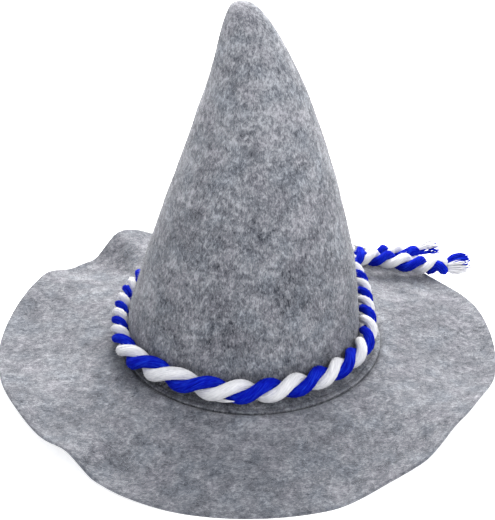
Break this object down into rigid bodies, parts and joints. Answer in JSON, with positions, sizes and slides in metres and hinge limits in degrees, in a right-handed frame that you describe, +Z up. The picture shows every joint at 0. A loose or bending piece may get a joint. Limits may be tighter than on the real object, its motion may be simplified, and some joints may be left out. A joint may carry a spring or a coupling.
{
  "type": "tyrolean hat",
  "caption": "Pointed grey felt hat with a wavy brim and a blue and white two-ply cord knotted round the foot of its crown.",
  "frame": {"origin": "on the surface that the hat rests on, under the middle of the brim", "axes": "+Z up towards the tip of the crown, -Y towards the front, +X towards the side where the cord's ends lie"},
  "size_m": [0.382, 0.382, 0.3],
  "materials": {
    "grey_felt": "matte mottled felt",
    "blue_yarn": "matte wool yarn",
    "white_yarn": "matte wool yarn"
  },
  "bodies": {
    "root": {"brim": "grey_felt", "crown": "grey_felt", "cord_blue_ply": "blue_yarn", "cord_white_ply": "white_yarn"}
  },
  "joints": []
}
